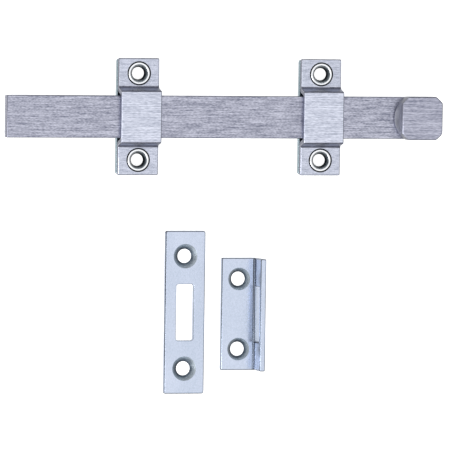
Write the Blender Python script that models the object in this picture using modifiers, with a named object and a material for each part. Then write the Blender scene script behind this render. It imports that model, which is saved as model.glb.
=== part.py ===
"""Flat-bar surface bolt kit: bolt, two strap guides, mortise strike and angle strike.

The kit lies on its back at z = 0. +X runs along the bar from its free end to its knob, +Y runs
across the bar away from the two strikes, and +Z points out of the door. The origin is under the
middle of the kit's bounding box. All sizes are in metres.
"""
import math

import bmesh
import bpy
from mathutils import Matrix, Vector

MM = 0.001
INCH = 25.4 * MM
GAP = 0.3 * MM

# Stock the pieces are made from.
BAR_LENGTH = 201.05 * MM
BAR_WIDTH = 0.75 * INCH
BAR_THICKNESS = 0.1875 * INCH
PLATE_THICKNESS = 2.66 * MM
STRAP_THICKNESS = 2.4 * MM
LEAF_THICKNESS = 0.4 * MM

# Heights above the mounting face.
SPRING_SPACE = 0.74 * MM
BAR_BOTTOM = PLATE_THICKNESS + SPRING_SPACE
BAR_TOP = BAR_BOTTOM + BAR_THICKNESS
STRAP_FOOT = PLATE_THICKNESS + GAP
CROWN_UNDERSIDE = BAR_TOP + GAP

# Layout of the kit.
BAR_Y = 49.4 * MM
GUIDES = {"left": -39.175 * MM, "right": 45.775 * MM}
MORTISE_STRIKE_CENTRE = (-15.875 * MM, -38.9 * MM)
ANGLE_STRIKE_LEFT = 1.175 * MM
ANGLE_STRIKE_Y = -39.7 * MM

# Bar edges and guides.
BAR_BEVEL = 0.45 * MM
STRAP_WIDTH = 18.75 * MM
STRAP_SPAN = 52.6 * MM
BACK_PLATE_WIDTH = 19.05 * MM
BACK_PLATE_SPAN = 51.8 * MM
SIDE_CLEARANCE = 0.35 * MM
STRAP_LEAN = 1.5 * MM
FOOT_RADIUS = 0.6 * MM
SHOULDER_RADIUS = 0.3 * MM
SCREW_SPACING = 38.9 * MM

# Eyelets that join each strap to its back plate and line the screw holes.
EYELET_BARREL_RADIUS = 4.0 * MM
EYELET_RIM_RADIUS = 4.9 * MM
EYELET_TAIL_RADIUS = 4.75 * MM
EYELET_MOUTH_RADIUS = 4.0 * MM
EYELET_NECK_RADIUS = 2.75 * MM
EYELET_FLARE_RADIUS = 3.4 * MM
EYELET_RIM_DEPTH = 0.9 * MM
EYELET_TAIL_DEPTH = 0.55 * MM
EYELET_CONE_DEPTH = 2.6 * MM
EYELET_PROUD = 0.1 * MM
RIM_SEAT_RADIUS = 5.45 * MM
TAIL_SEAT_RADIUS = 5.2 * MM

# Leaf spring and the pocket it lies in.
POCKET_SIZE = (16.2 * MM, 9.0 * MM)
POCKET_DEPTH = 1.3 * MM
LEAF_SIZE = (15.2 * MM, 8.0 * MM)

# Knob and the two screws that hold it from behind.
KNOB_HEIGHT = 6.8 * MM
KNOB_RADIUS = 11.72 * MM
KNOB_HEAD_SIZE = (19.1 * MM, 19.6 * MM)
KNOB_X = BAR_LENGTH / 2 - KNOB_HEAD_SIZE[0] / 2
KNOB_EDGE = 0.9 * MM
KNOB_RIM = 0.9 * MM
LEFT_SCOOP_RADIUS = 7.0 * MM
RIGHT_SCOOP_RADIUS = 3.6 * MM
KNOB_SCREW_OFFSET = 5.5 * MM
KNOB_SCREW_HEAD_RADIUS = 3.8 * MM
KNOB_SCREW_SHANK_RADIUS = 2.05 * MM
KNOB_SCREW_HEAD_HEIGHT = 1.9 * MM
KNOB_SCREW_REACH = 4.2 * MM

# Strikes.
STRIKE_SLOT_LENGTH = 25.4 * MM
STRIKE_SLOT_WIDTH = 8.0 * MM
MORTISE_STRIKE_SIZE = (18.6 * MM, 73.6 * MM)
MORTISE_SCREW_SPACING = 2 * INCH
ANGLE_STRIKE_LEG = 18.0 * MM
ANGLE_STRIKE_HEIGHT = 13.2 * MM
ANGLE_STRIKE_LENGTH = 2 * INCH
ANGLE_BEND_RADIUS = 0.9 * MM
ANGLE_SLOT_BOTTOM = 3.1 * MM
ANGLE_SCREW_SPACING = 1.25 * INCH
ANGLE_SCREW_INSET = 8.1 * MM
STRIKE_HOLE_RADIUS = 3.2 * MM
MORTISE_SINK_RADIUS = 5.5 * MM
ANGLE_SINK_RADIUS = 5.1 * MM

ROUND_STEPS = 32
BEND_STEPS = 5


def clear_scene():
    """Remove every object that the startup file brings."""
    for item in list(bpy.data.objects):
        bpy.data.objects.remove(item, do_unlink=True)


def new_collection(name):
    """Make a collection and link it to the scene."""
    collection = bpy.data.collections.new(name)
    bpy.context.scene.collection.children.link(collection)
    return collection


def new_material(name, colour, roughness):
    """Make a bare metal of one colour."""
    material = bpy.data.materials.new(name)
    material.use_nodes = True
    shader = material.node_tree.nodes["Principled BSDF"]
    shader.inputs["Base Color"].default_value = (*colour, 1.0)
    shader.inputs["Metallic"].default_value = 1.0
    shader.inputs["Roughness"].default_value = roughness
    return material


def add_object(name, mesh, collection, location=(0, 0, 0)):
    """Put a mesh in the scene as a named object."""
    item = bpy.data.objects.new(name, mesh)
    item.location = location
    collection.objects.link(item)
    return item


def add_part(name, mesh, material, location=(0, 0, 0)):
    """Add a finished piece with its material."""
    mesh.materials.append(material)
    return add_object(name, mesh, PARTS, location)


def hide_cutter(item):
    """Show a cutter as wire only and keep it out of renders."""
    item.hide_render = True
    item.display_type = "WIRE"
    return item


def box_mesh(name, low, high, corner_radius=0.0):
    """Make a box between two corners, with its four upright edges rounded."""
    work = bmesh.new()
    size = [b - a for a, b in zip(low, high)]
    middle = [(a + b) / 2 for a, b in zip(low, high)]
    place = Matrix.Translation(middle) @ Matrix.Diagonal((*size, 1))
    bmesh.ops.create_cube(work, size=1, matrix=place)
    if corner_radius:
        upright = [e for e in work.edges if abs(e.verts[0].co.z - e.verts[1].co.z) > size[2] / 2]
        bmesh.ops.bevel(work, geom=upright, offset=corner_radius, segments=3, profile=0.5,
                        affect="EDGES")
    mesh = bpy.data.meshes.new(name)
    work.to_mesh(mesh)
    work.free()
    return mesh


def arc_points(centre, start, end, steps):
    """Give the points of the arc that turns from start to end about a centre."""
    first = start - centre
    last = end - centre
    turn = first.angle(last)
    points = []
    for step in range(steps + 1):
        share = step / steps
        blend = first * math.sin((1 - share) * turn) + last * math.sin(share * turn)
        points.append(centre + blend / math.sin(turn))
    return points


def rounded_path(corners, radii, steps):
    """Round the inner corners of an open path, each with its own radius."""
    points = [Vector(corners[0])]
    for before, corner, after, radius in zip(corners, corners[1:], corners[2:], radii):
        corner = Vector(corner)
        back = (Vector(before) - corner).normalized()
        ahead = (Vector(after) - corner).normalized()
        half_angle = back.angle(ahead) / 2
        centre = corner + (back + ahead).normalized() * radius / math.sin(half_angle)
        inset = radius / math.tan(half_angle)
        points += arc_points(centre, corner + back * inset, corner + ahead * inset, steps)
    points.append(Vector(corners[-1]))
    return points


def sheet_mesh(name, path, across, along, half_length):
    """Sweep an open path straight, in the plane of two axes, into a sheet without thickness."""
    sweep = across.cross(along) * 2 * half_length
    work = bmesh.new()
    row = [work.verts.new(across * p.x + along * p.y - sweep / 2) for p in path]
    edges = [work.edges.new(pair) for pair in zip(row, row[1:])]
    swept = bmesh.ops.extrude_edge_only(work, edges=edges)["geom"]
    moved = [v for v in swept if isinstance(v, bmesh.types.BMVert)]
    bmesh.ops.translate(work, verts=moved, vec=sweep)
    bmesh.ops.recalc_face_normals(work, faces=work.faces)
    mesh = bpy.data.meshes.new(name)
    work.to_mesh(mesh)
    work.free()
    return mesh


def profile_mesh(name, profile):
    """Make an outline of radius and height points, for a Screw modifier to turn."""
    mesh = bpy.data.meshes.new(name)
    count = len(profile)
    closed = profile[0][0] > 0 and profile[-1][0] > 0
    pairs = [(i, (i + 1) % count) for i in range(count if closed else count - 1)]
    mesh.from_pydata([(radius, 0, height) for radius, height in profile], pairs, [])
    return mesh


def add_screw(item, steps=ROUND_STEPS):
    """Turn the object's outline about its own Z axis."""
    turn = item.modifiers.new("turn", "SCREW")
    turn.axis = "Z"
    turn.angle = math.tau
    turn.steps = steps
    turn.render_steps = steps
    turn.use_merge_vertices = True
    turn.merge_threshold = 0.00001
    return item


def add_solidify(item, thickness):
    """Give a sheet its thickness, half to each side."""
    solidify = item.modifiers.new("thickness", "SOLIDIFY")
    solidify.thickness = thickness
    solidify.offset = 0
    solidify.use_even_offset = True


def add_bevel(item, width, segments=1):
    """Break the square edges."""
    bevel = item.modifiers.new("broken_edges", "BEVEL")
    bevel.width = width
    bevel.segments = segments
    bevel.limit_method = "ANGLE"
    bevel.angle_limit = math.radians(50)


def cut(item, cutter):
    """Take a cutter's shape out of an object."""
    difference = item.modifiers.new("cut_" + cutter.name, "BOOLEAN")
    difference.operation = "DIFFERENCE"
    difference.solver = "EXACT"
    difference.object = cutter


def box_cutter(name, low, high, corner_radius=0.0):
    """Make a box-shaped cutter."""
    return hide_cutter(add_object(name, box_mesh(name, low, high, corner_radius), CUTTERS))


def turned_cutter(name, profile, location):
    """Make a turned cutter on an upright axis."""
    item = add_object(name, profile_mesh(name, profile), CUTTERS, location)
    return hide_cutter(add_screw(item))


def hole_pair(centre_x, centre_y, spacing):
    """Give the names and centres of an upper and a lower hole."""
    return {
        "upper": (centre_x, centre_y + spacing / 2),
        "lower": (centre_x, centre_y - spacing / 2),
    }


def countersink(name, centre, sink_radius, thickness):
    """Make a cutter for a countersunk screw hole through a flat plate."""
    over = 1 * MM
    land = 0.5 * MM
    profile = [
        (0, thickness + over),
        (sink_radius, thickness + over),
        (sink_radius, thickness),
        (STRIKE_HOLE_RADIUS, land),
        (STRIKE_HOLE_RADIUS, -over),
        (0, -over),
    ]
    return turned_cutter(name, profile, (*centre, 0))


def build_bar(axis):
    """Flat bar, drilled and countersunk from behind for the knob's two screws."""
    half = BAR_LENGTH / 2
    mesh = box_mesh("bolt_bar", (-half, -BAR_WIDTH / 2, BAR_BOTTOM), (half, BAR_WIDTH / 2, BAR_TOP))
    bar = add_part("bolt_bar", mesh, SATIN_CHROME)
    bar.parent = axis
    add_bevel(bar, BAR_BEVEL)
    play = 0.42 * MM
    over = 1 * MM
    head = KNOB_SCREW_HEAD_RADIUS + play
    shank = KNOB_SCREW_SHANK_RADIUS + play
    profile = [
        (0, BAR_TOP + over),
        (shank, BAR_TOP + over),
        (shank, BAR_BOTTOM + KNOB_SCREW_HEAD_HEIGHT),
        (head, BAR_BOTTOM),
        (head, BAR_BOTTOM - over),
        (0, BAR_BOTTOM - over),
    ]
    for side, offset in knob_screw_offsets().items():
        cut(bar, turned_cutter("bar_hole_" + side, profile, (KNOB_X + offset, BAR_Y, 0)))


def knob_screw_offsets():
    """Give each knob screw its offset from the knob's centre."""
    return {"left": -KNOB_SCREW_OFFSET, "right": KNOB_SCREW_OFFSET}


def build_knob(axis):
    """Low knob: a round blank with flats above and below, and a finger scoop at each side.

    The left scoop runs out to the blank's foot. The right side is flush with the bar's end.
    """
    base = BAR_TOP + GAP
    top = BAR_TOP + KNOB_HEIGHT
    profile = [(0, top), (KNOB_RADIUS, top), (KNOB_RADIUS, base), (0, base)]
    knob = add_part("thumb_knob", profile_mesh("thumb_knob", profile), SATIN_CHROME,
                    (KNOB_X, 0, 0))
    add_screw(knob, 64)
    knob.parent = axis
    over = 4 * MM
    for side, sign in {"upper": 1, "lower": -1}.items():
        near = BAR_Y + sign * KNOB_HEAD_SIZE[1] / 2
        far = near + sign * over
        low = (KNOB_X - 2 * KNOB_RADIUS, min(near, far), base - over)
        high = (KNOB_X + 2 * KNOB_RADIUS, max(near, far), top + over)
        cut(knob, box_cutter("knob_flat_" + side, low, high))
    cut(knob, scoop_cutter("knob_scoop_left", -1, KNOB_RADIUS, LEFT_SCOOP_RADIUS, base, top))
    cut(knob, scoop_cutter("knob_scoop_right", 1, KNOB_HEAD_SIZE[0] / 2, RIGHT_SCOOP_RADIUS, base,
                           top))
    bore = KNOB_SCREW_SHANK_RADIUS + GAP
    depth = BAR_TOP + KNOB_SCREW_REACH + GAP
    hole = [(0, depth), (bore, depth), (bore, base - over), (0, base - over)]
    for side, offset in knob_screw_offsets().items():
        cut(knob, turned_cutter("knob_hole_" + side, hole, (KNOB_X + offset, BAR_Y, 0)))
    add_bevel(knob, 0.4 * MM)


def scoop_cutter(name, sign, foot_x, radius, base, top):
    """Make the cutter for one finger scoop, from the head's edge to the edge of the knob's foot.

    Where the foot stops short of the round blank, the cutter also trims the blank below it.
    """
    edge_x = KNOB_HEAD_SIZE[0] / 2
    upper = Vector((edge_x, top - KNOB_EDGE))
    lower = Vector((foot_x, base + KNOB_RIM))
    chord = lower - upper
    outward = Vector((-chord.y, chord.x)).normalized()
    centre = (upper + lower) / 2 + outward * math.sqrt(radius**2 - (chord.length / 2) ** 2)
    over = 4 * MM
    path = [Vector((edge_x, top + over))]
    path += arc_points(centre, upper, lower, 8)
    if foot_x < KNOB_RADIUS:
        path.append(Vector((foot_x, base - over)))
    path.append(Vector((KNOB_RADIUS + over, path[-1].y)))
    path.append(Vector((KNOB_RADIUS + over, top + over)))
    work = bmesh.new()
    side_y = BAR_Y - KNOB_RADIUS - over
    row = [work.verts.new((KNOB_X + sign * p.x, side_y, p.y)) for p in path]
    face = work.faces.new(row)
    swept = bmesh.ops.extrude_face_region(work, geom=[face])["geom"]
    moved = [v for v in swept if isinstance(v, bmesh.types.BMVert)]
    bmesh.ops.translate(work, verts=moved, vec=(0, 2 * (KNOB_RADIUS + over), 0))
    bmesh.ops.recalc_face_normals(work, faces=work.faces)
    mesh = bpy.data.meshes.new(name)
    work.to_mesh(mesh)
    work.free()
    return hide_cutter(add_object(name, mesh, CUTTERS))


def build_knob_screws(axis):
    """Two flat-head machine screws that hold the knob from the back of the bar."""
    recess = 0.2 * MM
    bottom = BAR_BOTTOM + recess
    tip = BAR_TOP + KNOB_SCREW_REACH
    lead = 0.5 * MM
    profile = [
        (0, tip),
        (KNOB_SCREW_SHANK_RADIUS - lead, tip),
        (KNOB_SCREW_SHANK_RADIUS, tip - lead),
        (KNOB_SCREW_SHANK_RADIUS, BAR_BOTTOM + KNOB_SCREW_HEAD_HEIGHT),
        (KNOB_SCREW_HEAD_RADIUS - recess, bottom),
        (0, bottom),
    ]
    arm = 2.2 * MM
    blade = 0.45 * MM
    depth = 1.2 * MM
    over = 1 * MM
    for side, offset in knob_screw_offsets().items():
        name = "knob_screw_" + side
        centre_x = KNOB_X + offset
        screw = add_part(name, profile_mesh(name, profile), SCREW_STEEL, (centre_x, 0, 0))
        add_screw(screw, 24)
        screw.parent = axis
        for way, half_x, half_y in (("along", arm, blade), ("across", blade, arm)):
            low = (centre_x - half_x, BAR_Y - half_y, bottom - over)
            high = (centre_x + half_x, BAR_Y + half_y, bottom + depth)
            cut(screw, box_cutter(name + "_slot_" + way, low, high))


def build_strap(side, guide_x):
    """Strap guide bent from flat strip: two feet and a crown that bridges the bar.

    Its walls lean, each foot standing further out than the shoulder above it.
    """
    middle = STRAP_THICKNESS / 2
    foot = STRAP_FOOT + middle
    crown = CROWN_UNDERSIDE + middle
    slope = STRAP_LEAN / (crown - foot)
    shoulder = BAR_WIDTH / 2 + SIDE_CLEARANCE + middle * (math.hypot(1, slope) - slope)
    root = shoulder + STRAP_LEAN
    end = STRAP_SPAN / 2
    corners = [(-end, foot), (-root, foot), (-shoulder, crown), (shoulder, crown), (root, foot),
               (end, foot)]
    radii = [FOOT_RADIUS + middle, SHOULDER_RADIUS + middle, SHOULDER_RADIUS + middle,
             FOOT_RADIUS + middle]
    path = rounded_path(corners, radii, BEND_STEPS)
    name = side + "_guide_strap"
    mesh = sheet_mesh(name, path, Vector((0, 1, 0)), Vector((0, 0, 1)), STRAP_WIDTH / 2)
    strap = add_part(name, mesh, SATIN_CHROME, (guide_x, BAR_Y, 0))
    add_solidify(strap, STRAP_THICKNESS)
    add_bevel(strap, 0.3 * MM)
    top = STRAP_FOOT + STRAP_THICKNESS
    shelf = top + EYELET_PROUD - EYELET_RIM_DEPTH - GAP
    bore = EYELET_BARREL_RADIUS + GAP
    over = 1 * MM
    profile = [
        (0, top + over),
        (RIM_SEAT_RADIUS, top + over),
        (RIM_SEAT_RADIUS, shelf),
        (bore, shelf),
        (bore, STRAP_FOOT - over),
        (0, STRAP_FOOT - over),
    ]
    for level, centre in hole_pair(guide_x, BAR_Y, SCREW_SPACING).items():
        cut(strap, turned_cutter(f"{side}_{level}_rim_seat", profile, (*centre, 0)))


def build_back_plate(side, guide_x):
    """Flat plate behind the strap, with a pocket for the leaf spring."""
    half_x = BACK_PLATE_WIDTH / 2
    half_y = BACK_PLATE_SPAN / 2
    name = side + "_back_plate"
    mesh = box_mesh(name, (-half_x, -half_y, 0), (half_x, half_y, PLATE_THICKNESS), 0.8 * MM)
    plate = add_part(name, mesh, ZINC_PLATE, (guide_x, BAR_Y, 0))
    add_bevel(plate, 0.3 * MM)
    over = 1 * MM
    floor = PLATE_THICKNESS - POCKET_DEPTH
    low = (guide_x - POCKET_SIZE[0] / 2, BAR_Y - POCKET_SIZE[1] / 2, floor)
    high = (guide_x + POCKET_SIZE[0] / 2, BAR_Y + POCKET_SIZE[1] / 2, PLATE_THICKNESS + over)
    cut(plate, box_cutter(side + "_spring_pocket", low, high, 1 * MM))
    bore = EYELET_BARREL_RADIUS + GAP
    shelf = EYELET_TAIL_DEPTH + 2 * GAP
    profile = [
        (0, PLATE_THICKNESS + over),
        (bore, PLATE_THICKNESS + over),
        (bore, shelf),
        (TAIL_SEAT_RADIUS, shelf),
        (TAIL_SEAT_RADIUS, -over),
        (0, -over),
    ]
    for level, centre in hole_pair(guide_x, BAR_Y, SCREW_SPACING).items():
        cut(plate, turned_cutter(f"{side}_{level}_tail_seat", profile, (*centre, 0)))


def build_eyelets(side, guide_x):
    """Tubular eyelets with a rolled rim in front and a flared tail behind."""
    top = STRAP_FOOT + STRAP_THICKNESS + EYELET_PROUD
    bottom = GAP
    round_edge = 0.3 * MM
    under_rim = top - EYELET_RIM_DEPTH
    over_tail = bottom + EYELET_TAIL_DEPTH
    profile = [
        (EYELET_MOUTH_RADIUS + round_edge, top),
        (EYELET_RIM_RADIUS - round_edge, top),
        (EYELET_RIM_RADIUS, top - round_edge),
        (EYELET_RIM_RADIUS, under_rim),
        (EYELET_BARREL_RADIUS, under_rim),
        (EYELET_BARREL_RADIUS, over_tail),
        (EYELET_TAIL_RADIUS, over_tail),
        (EYELET_TAIL_RADIUS, bottom),
        (EYELET_FLARE_RADIUS, bottom),
        (EYELET_NECK_RADIUS, top - EYELET_CONE_DEPTH),
        (EYELET_MOUTH_RADIUS, top - round_edge),
    ]
    for level, centre in hole_pair(guide_x, BAR_Y, SCREW_SPACING).items():
        name = f"{side}_{level}_eyelet"
        add_screw(add_part(name, profile_mesh(name, profile), ZINC_PLATE, (*centre, 0)))


def build_leaf_spring(side, guide_x):
    """Bowed leaf that presses on the back of the bar and holds it where it is put."""
    foot = PLATE_THICKNESS - POCKET_DEPTH + GAP + LEAF_THICKNESS / 2
    rise = BAR_BOTTOM - GAP - LEAF_THICKNESS / 2 - foot
    half = LEAF_SIZE[0] / 2
    steps = 12
    path = []
    for step in range(steps + 1):
        share = 2 * step / steps - 1
        path.append(Vector((share * half, foot + rise * math.cos(share * math.pi / 2) ** 2)))
    name = side + "_leaf_spring"
    mesh = sheet_mesh(name, path, Vector((1, 0, 0)), Vector((0, 0, 1)), LEAF_SIZE[1] / 2)
    leaf = add_part(name, mesh, SPRING_STEEL, (guide_x, BAR_Y, 0))
    add_solidify(leaf, LEAF_THICKNESS)


def build_mortise_strike():
    """Flat strike for letting into a threshold or a head, with a slot for the bar."""
    centre_x, centre_y = MORTISE_STRIKE_CENTRE
    half_x = MORTISE_STRIKE_SIZE[0] / 2
    half_y = MORTISE_STRIKE_SIZE[1] / 2
    mesh = box_mesh("mortise_strike", (-half_x, -half_y, 0), (half_x, half_y, PLATE_THICKNESS),
                    0.8 * MM)
    strike = add_part("mortise_strike", mesh, ZINC_PLATE, (centre_x, centre_y, 0))
    add_bevel(strike, 0.4 * MM)
    over = 1 * MM
    low = (centre_x - STRIKE_SLOT_WIDTH / 2, centre_y - STRIKE_SLOT_LENGTH / 2, -over)
    high = (centre_x + STRIKE_SLOT_WIDTH / 2, centre_y + STRIKE_SLOT_LENGTH / 2,
            PLATE_THICKNESS + over)
    cut(strike, box_cutter("mortise_slot", low, high, 0.8 * MM))
    for level, centre in hole_pair(centre_x, centre_y, MORTISE_SCREW_SPACING).items():
        cut(strike, countersink("mortise_hole_" + level, centre, MORTISE_SINK_RADIUS,
                                PLATE_THICKNESS))


def build_angle_strike():
    """Angle strike: a flat leg with two screw holes, and an upright leg with the bar's slot."""
    middle = PLATE_THICKNESS / 2
    right = ANGLE_STRIKE_LEG - middle
    corners = [(0, middle), (right, middle), (right, ANGLE_STRIKE_HEIGHT)]
    path = rounded_path(corners, [ANGLE_BEND_RADIUS + middle], BEND_STEPS)
    mesh = sheet_mesh("angle_strike", path, Vector((1, 0, 0)), Vector((0, 0, 1)),
                      ANGLE_STRIKE_LENGTH / 2)
    strike = add_part("angle_strike", mesh, ZINC_PLATE, (ANGLE_STRIKE_LEFT, ANGLE_STRIKE_Y, 0))
    add_solidify(strike, PLATE_THICKNESS)
    add_bevel(strike, 0.4 * MM)
    over = 1 * MM
    outer = ANGLE_STRIKE_LEFT + ANGLE_STRIKE_LEG
    low = (outer - PLATE_THICKNESS - over, ANGLE_STRIKE_Y - STRIKE_SLOT_LENGTH / 2,
           ANGLE_SLOT_BOTTOM)
    high = (outer + over, ANGLE_STRIKE_Y + STRIKE_SLOT_LENGTH / 2,
            ANGLE_SLOT_BOTTOM + STRIKE_SLOT_WIDTH)
    cut(strike, box_cutter("angle_slot", low, high))
    holes = hole_pair(ANGLE_STRIKE_LEFT + ANGLE_SCREW_INSET, ANGLE_STRIKE_Y, ANGLE_SCREW_SPACING)
    for level, centre in holes.items():
        cut(strike, countersink("angle_hole_" + level, centre, ANGLE_SINK_RADIUS,
                                PLATE_THICKNESS))


def build_bolt():
    """Everything that slides: the bar, its knob and the knob's screws, on the bar's centre line."""
    axis = add_object("bolt_axis", None, PARTS, (0, BAR_Y, 0))
    build_bar(axis)
    build_knob(axis)
    build_knob_screws(axis)


def build_guide(side, guide_x):
    """One complete guide."""
    build_strap(side, guide_x)
    build_back_plate(side, guide_x)
    build_eyelets(side, guide_x)
    build_leaf_spring(side, guide_x)


clear_scene()
PARTS = new_collection("surface_bolt")
CUTTERS = new_collection("cutters")
SATIN_CHROME = new_material("satin_chrome", (0.52, 0.52, 0.58), 0.36)
ZINC_PLATE = new_material("zinc_plate", (0.62, 0.67, 0.76), 0.32)
SPRING_STEEL = new_material("spring_steel", (0.36, 0.36, 0.38), 0.40)
SCREW_STEEL = new_material("screw_steel", (0.45, 0.45, 0.46), 0.35)

build_bolt()
for guide_side, guide_centre in GUIDES.items():
    build_guide(guide_side, guide_centre)
build_mortise_strike()
build_angle_strike()
for part in PARTS.objects:
    if part.type == "MESH":
        part.data.shade_smooth()
        part.data.set_sharp_from_angle(angle=math.radians(30))
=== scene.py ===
"""Looks for the flat-bar surface bolt kit: fine meshes, metal finishes, floor, light and camera.
"""
import math

import bmesh
import bpy
from mathutils import Matrix, Vector


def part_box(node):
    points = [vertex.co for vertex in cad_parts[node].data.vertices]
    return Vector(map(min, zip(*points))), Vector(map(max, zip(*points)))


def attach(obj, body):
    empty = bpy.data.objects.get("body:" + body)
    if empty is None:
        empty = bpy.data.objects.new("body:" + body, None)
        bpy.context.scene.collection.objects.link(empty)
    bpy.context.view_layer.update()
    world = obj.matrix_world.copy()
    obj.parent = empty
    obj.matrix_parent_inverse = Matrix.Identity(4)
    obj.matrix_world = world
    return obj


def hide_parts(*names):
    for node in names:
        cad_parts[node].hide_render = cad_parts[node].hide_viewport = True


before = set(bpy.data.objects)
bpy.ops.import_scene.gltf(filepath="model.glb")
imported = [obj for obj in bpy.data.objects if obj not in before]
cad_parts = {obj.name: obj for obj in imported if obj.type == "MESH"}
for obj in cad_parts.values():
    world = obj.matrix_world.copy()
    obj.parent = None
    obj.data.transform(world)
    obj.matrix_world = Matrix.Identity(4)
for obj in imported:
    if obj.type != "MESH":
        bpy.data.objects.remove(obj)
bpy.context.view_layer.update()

MM = 0.001
INCH = 25.4 * MM

# How finely round shapes are drawn.
TURN_STEPS = 96
EYELET_STEPS = 128
BEND_STEPS = 14
EDGE_STEPS = 4
SMALL_EDGE_STEPS = 2
CORNER_STEPS = 8
KNOB_STEPS = 16
SCOOP_STEPS = 32
LEAF_STEPS = 32

# Cutters stand this far proud of what they cut.
OVERCUT = 1.0 * MM
SCOOP_OVERCUT = 4.0 * MM

# Points closer than this are one point, after turning a shape and before rounding its edges.
MERGE_TURNED = 0.001 * MM
MERGE_CARVED = 0.02 * MM

# Edges that turn by more than this many degrees are rounded, on most pieces and on the screws.
ROUNDED_TURN = 40
ROUNDED_SCREW_TURN = 30
# Faces that turn by less than this many degrees are shaded as one round.
SMOOTH_TURN = 35

# What a face's normal tells. The largest part of it is over SQUARE where the face is square to
# an axis, and under TILTED on a rounded edge. The part along one axis is over FLAT where the face
# looks along that axis, over LEANING where it leans that way, and under STEEP on a steep side.
SQUARE = 0.999
TILTED = 0.97
FLAT = 0.99
UNDERSIDE = 0.9
STEEP = 0.7
LEANING = 0.2
# The sideways part on a strap's wall, with and without the bends above and below the wall.
ON_WALL_OR_BEND = 0.3
ON_WALL = 0.9
# The upward parts where the angle strike's inner bend starts on one leg and ends on the other.
BEND_START = (0.8, 0.995)
BEND_END = (0.02, 0.35)
INWARD = 0.05

# Play in tests of where a point lies.
CLOSE = 0.1 * MM
HAIR = 0.01 * MM
CIRCLE_PLAY = 1.01

# Bar and knob.
BAR_EDGE = 0.45 * MM
BAR_END_CORNER = 2.0 * MM
KNOB_RADIUS = 11.72 * MM
KNOB_HEAD_WIDTH = 19.1 * MM
KNOB_EDGE = 0.9 * MM
KNOB_RIM = 0.9 * MM
KNOB_SOFTENING = 0.6 * MM
LEFT_SCOOP_RADIUS = 7.0 * MM
RIGHT_SCOOP_RADIUS = 3.6 * MM
SCREW_HEAD_RADIUS = 3.6 * MM
SCREW_HEAD_HEIGHT = 1.7 * MM
SCREW_SHANK_RADIUS = 2.05 * MM
SCREW_LEAD = 0.5 * MM
SCREW_EDGE = 0.12 * MM
SCREW_PLAY = 0.42 * MM
SCREW_RECESS = 0.2 * MM
CROSS_REACH = 2.2 * MM
CROSS_HALF_WIDTH = 0.45 * MM
CROSS_DEPTH = 1.2 * MM

# Strap guides and what holds them.
STRAP_THICKNESS = 2.4 * MM
STRAP_EDGE = 0.55 * MM
INNER_HALF_WIDTH = 9.875 * MM
STRAP_LEAN = 1.5 * MM
FOOT_RADIUS = 1.2 * MM
SHOULDER_RADIUS = 1.0 * MM
INNER_FOOT_RADIUS = 3.0 * MM
INNER_SHOULDER_RADIUS = 0.3 * MM
RIM_SEAT_RADIUS = 5.45 * MM
TAIL_SEAT_RADIUS = 5.2 * MM
SEAT_GAP = 0.3 * MM
BARREL_RADIUS = 4.0 * MM
MOUTH_RADIUS = 4.0 * MM
NECK_RADIUS = 2.75 * MM
NECK_ROLL = 0.3 * MM
FLARE_RADIUS = 3.4 * MM
RIM_DEPTH = 0.9 * MM
RIM_ROLL = 0.25 * MM
TAIL_DEPTH = 0.55 * MM
TAIL_INSET = 0.15 * MM
CONE_DEPTH = 2.6 * MM
BARREL_CORNER = 0.1 * MM
BACK_PLATE_EDGE = 0.3 * MM
POCKET_SIZE = (16.2 * MM, 9.0 * MM)
POCKET_DEPTH = 1.3 * MM
POCKET_CORNER = 1.0 * MM
LEAF_THICKNESS = 0.4 * MM
LEAF_EDGE = 0.08 * MM
LEAF_PLAY = 0.02 * MM

# Strikes.
PLATE_EDGE = 0.6 * MM
PLATE_CORNER = 1.0 * MM
SLOT_EDGE = 0.35 * MM
SLOT_LENGTH = 25.4 * MM
SLOT_WIDTH = 8.0 * MM
STRIKE_HOLE_RADIUS = 3.2 * MM
SINK_LAND = 0.5 * MM
MORTISE_SCREW_SPACING = 2 * INCH
MORTISE_SINK_RADIUS = 5.5 * MM
ANGLE_SCREW_SPACING = 1.25 * INCH
ANGLE_SCREW_INSET = 8.1 * MM
ANGLE_SINK_RADIUS = 5.1 * MM
ANGLE_THICKNESS = 2.66 * MM
ANGLE_BEND_RADIUS = 0.9 * MM
ANGLE_SLOT_BOTTOM = 3.1 * MM

VIEW_FROM_LEFT = math.radians(15)
VIEW_FROM_ABOVE = math.radians(3)
VIEW_DISTANCE = 3.0
VIEW_WIDTH = 202.7 * MM
VIEW_AIM = Vector((1.15 * MM, 0.8 * MM, 7 * MM))
SENSOR_WIDTH = 36.0
NEAREST = 0.01
FURTHEST = 20.0

# Studio.
FLOOR_SIZE = 8.0
FLOOR_GAP = 0.05 * MM
FLOOR_TONE = 0.9
FLOOR_GLOW = 0.75
SOFTBOXES = {
    "overhead": ((0.1, 0.0, 1.1), 1.3, 1.2),
    "key": ((-0.75, -0.45, 0.85), 0.7, 7.0),
}
# Brightness of the room at the sine of each height over the horizon.
ROOM_LEVELS = [(-1.0, 0.95), (-0.7, 0.75), (-0.3, 0.3), (0.1, 0.25), (0.45, 0.75), (1.0, 0.85)]


# Meshes


def mesh_object(name, work):
    """Turn a bmesh into an object at the origin."""
    mesh = bpy.data.meshes.new(name)
    bmesh.ops.recalc_face_normals(work, faces=work.faces)
    work.to_mesh(mesh)
    work.free()
    item = bpy.data.objects.new(name, mesh)
    bpy.context.scene.collection.objects.link(item)
    return item


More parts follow.
